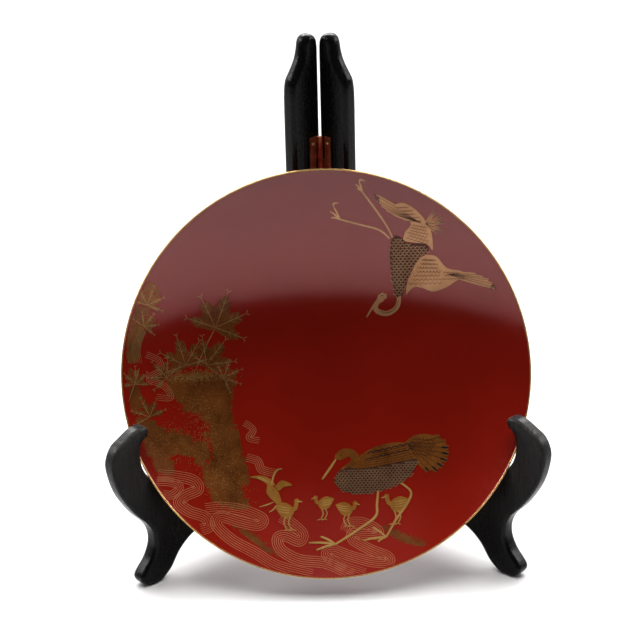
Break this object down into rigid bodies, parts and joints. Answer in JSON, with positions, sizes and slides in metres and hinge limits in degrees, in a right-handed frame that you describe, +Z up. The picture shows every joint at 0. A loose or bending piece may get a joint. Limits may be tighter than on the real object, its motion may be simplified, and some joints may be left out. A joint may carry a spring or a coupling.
{
  "type": "lacquer sake cup on folding stand",
  "caption": "Shallow round lacquer cup on a low foot ring, leaning upright in the hooks of a hinged two-leaf wooden display stand.",
  "frame": {"origin": "middle of the footprint of the whole work, on the floor under the feet", "axes": "+Z up along the posts, -Y to the front where the cup faces, +X to the right"},
  "size_m": [0.129, 0.0654, 0.1546],
  "materials": {
    "red_lacquer": "gloss red lacquer on turned wood, gilt rim and gold picture",
    "black_lacquer": "semi-gloss black lacquer, fine grain",
    "hinge_metal": "dark reddish, worn satin"
  },
  "bodies": {
    "root": {"cup": "red_lacquer", "stand_leaf_left": "black_lacquer", "stand_leaf_right": "black_lacquer", "hinge_leaf_left": "hinge_metal", "hinge_leaf_right": "hinge_metal", "hinge_pin": "hinge_metal", "hinge_nail_left_upper": "hinge_metal", "hinge_nail_left_lower": "hinge_metal", "hinge_nail_right_upper": "hinge_metal", "hinge_nail_right_lower": "hinge_metal"}
  },
  "joints": []
}
